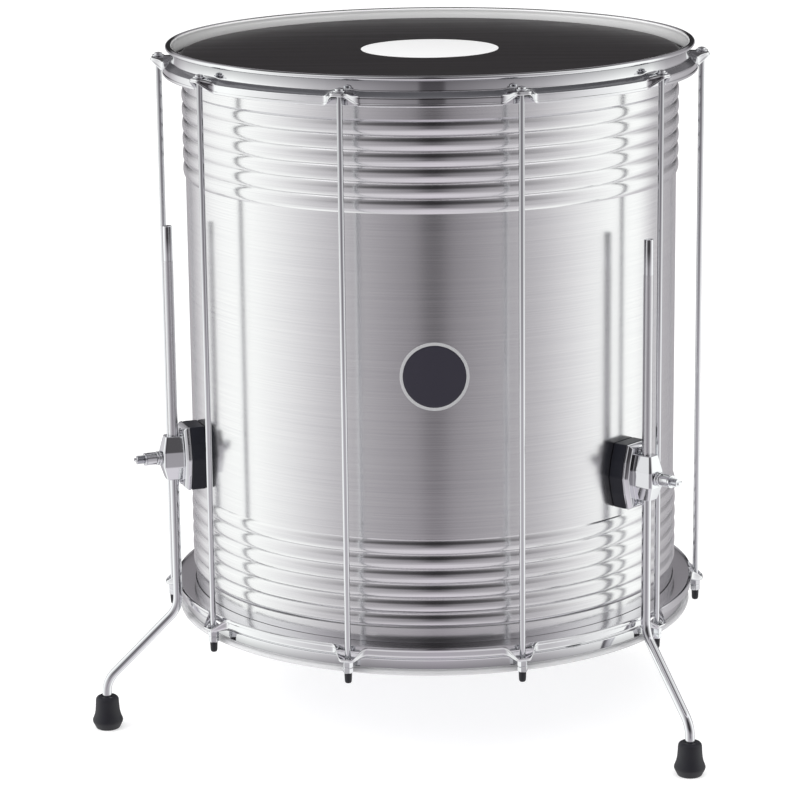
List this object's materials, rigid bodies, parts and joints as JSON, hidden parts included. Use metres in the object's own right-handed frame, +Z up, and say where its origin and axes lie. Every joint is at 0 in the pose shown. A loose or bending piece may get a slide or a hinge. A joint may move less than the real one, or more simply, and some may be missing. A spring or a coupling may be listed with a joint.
{
  "type": "surdo drum",
  "caption": "Tall two-headed bass drum with a beaded metal shell, rod-tensioned pressed hoops and sliding bent legs with rubber feet.",
  "frame": {"origin": "centre of the playing head, on its upper face", "axes": "+Z up along the drum axis, -Y towards the front that the picture shows, +X to its right"},
  "size_m": [0.6367, 0.633, 0.6974],
  "materials": {
    "shell_aluminium": "bright brushed beaded sheet",
    "hoop_ring": "plain bright ring",
    "chrome": "polished chrome plate",
    "black_film": "satin black drumhead film",
    "clear_film": "translucent milky drumhead film",
    "black_plastic": "fine matte black",
    "black_rubber": "matte rubber"
  },
  "bodies": {
    "drum": {"shell": "shell_aluminium", "top_head": "black_film", "top_flesh_hoop": "hoop_ring", "top_hoop": "chrome", "bottom_head": "clear_film", "bottom_flesh_hoop": "hoop_ring", "bottom_hoop": "chrome", "tension_rod_01": "chrome", "tension_rod_02": "chrome", "tension_rod_03": "chrome", "tension_rod_04": "chrome", "tension_rod_05": "chrome", "tension_rod_06": "chrome", "tension_rod_07": "chrome", "tension_rod_08": "chrome", "tension_rod_09": "chrome", "tension_rod_10": "chrome", "rod_cap_01": "black_rubber", "rod_cap_02": "black_rubber", "rod_cap_03": "black_rubber", "rod_cap_04": "black_rubber", "rod_cap_05": "black_rubber", "rod_cap_06": "black_rubber", "rod_cap_07": "black_rubber", "rod_cap_08": "black_rubber", "rod_cap_09": "black_rubber", "rod_cap_10": "black_rubber", "bracket_pad_1": "black_plastic", "bracket_casting_1": "chrome", "bracket_screw_upper_1": "chrome", "bracket_screw_lower_1": "chrome", "bracket_pad_2": "black_plastic", "bracket_casting_2": "chrome", "bracket_screw_upper_2": "chrome", "bracket_screw_lower_2": "chrome", "bracket_pad_3": "black_plastic", "bracket_casting_3": "chrome", "bracket_screw_upper_3": "chrome", "bracket_screw_lower_3": "chrome"},
    "nut_01": {"tuning_nut_01": "chrome"},
    "nut_02": {"tuning_nut_02": "chrome"},
    "nut_03": {"tuning_nut_03": "chrome"},
    "nut_04": {"tuning_nut_04": "chrome"},
    "nut_05": {"tuning_nut_05": "chrome"},
    "nut_06": {"tuning_nut_06": "chrome"},
    "nut_07": {"tuning_nut_07": "chrome"},
    "nut_08": {"tuning_nut_08": "chrome"},
    "nut_09": {"tuning_nut_09": "chrome"},
    "nut_10": {"tuning_nut_10": "chrome"},
    "leg_1": {"leg_1": "chrome", "foot_1": "black_rubber"},
    "clamp_1": {"clamp_bolt_1": "chrome"},
    "leg_2": {"leg_2": "chrome", "foot_2": "black_rubber"},
    "clamp_2": {"clamp_bolt_2": "chrome"},
    "leg_3": {"leg_3": "chrome", "foot_3": "black_rubber"},
    "clamp_3": {"clamp_bolt_3": "chrome"}
  },
  "joints": [
    {"name": "nut_turn_01", "type": "hinge", "parent": "drum", "child": "nut_01", "pos_m": [0.08482, -0.26106, -0.5684], "axis": [0, 0, 1], "continuous": true},
    {"name": "nut_turn_02", "type": "hinge", "parent": "drum", "child": "nut_02", "pos_m": [0.22207, -0.16135, -0.5684], "axis": [0, 0, 1], "continuous": true},
    {"name": "nut_turn_03", "type": "hinge", "parent": "drum", "child": "nut_03", "pos_m": [0.2745, 0, -0.5684], "axis": [0, 0, 1], "continuous": true},
    {"name": "nut_turn_04", "type": "hinge", "parent": "drum", "child": "nut_04", "pos_m": [0.22207, 0.16135, -0.5684], "axis": [0, 0, 1], "continuous": true},
    {"name": "nut_turn_05", "type": "hinge", "parent": "drum", "child": "nut_05", "pos_m": [0.08482, 0.26106, -0.5684], "axis": [0, 0, 1], "continuous": true},
    {"name": "nut_turn_06", "type": "hinge", "parent": "drum", "child": "nut_06", "pos_m": [-0.08482, 0.26106, -0.5684], "axis": [0, 0, 1], "continuous": true},
    {"name": "nut_turn_07", "type": "hinge", "parent": "drum", "child": "nut_07", "pos_m": [-0.22207, 0.16135, -0.5684], "axis": [0, 0, 1], "continuous": true},
    {"name": "nut_turn_08", "type": "hinge", "parent": "drum", "child": "nut_08", "pos_m": [-0.2745, 0, -0.5684], "axis": [0, 0, 1], "continuous": true},
    {"name": "nut_turn_09", "type": "hinge", "parent": "drum", "child": "nut_09", "pos_m": [-0.22207, -0.16135, -0.5684], "axis": [0, 0, 1], "continuous": true},
    {"name": "nut_turn_10", "type": "hinge", "parent": "drum", "child": "nut_10", "pos_m": [-0.08482, -0.26106, -0.5684], "axis": [0, 0, 1], "continuous": true},
    {"name": "leg_slide_1", "type": "slide", "parent": "drum", "child": "leg_1", "axis": [0, 0, 1], "range_m": [-0.185, 0.1]},
    {"name": "clamp_turn_1", "type": "hinge", "parent": "drum", "child": "clamp_1", "pos_m": [-0.2846, -0.098, -0.4002], "axis": [-0.9455, -0.3256, 0], "continuous": true},
    {"name": "leg_slide_2", "type": "slide", "parent": "drum", "child": "leg_2", "axis": [0, 0, 1], "range_m": [-0.185, 0.1]},
    {"name": "clamp_turn_2", "type": "hinge", "parent": "drum", "child": "clamp_2", "pos_m": [0.22717, -0.19747, -0.4002], "axis": [0.7547, -0.6561, 0], "continuous": true},
    {"name": "leg_slide_3", "type": "slide", "parent": "drum", "child": "leg_3", "axis": [0, 0, 1], "range_m": [-0.185, 0.1]},
    {"name": "clamp_turn_3", "type": "hinge", "parent": "drum", "child": "clamp_3", "pos_m": [0.05743, 0.29547, -0.4002], "axis": [0.1908, 0.9816, 0], "continuous": true}
  ]
}
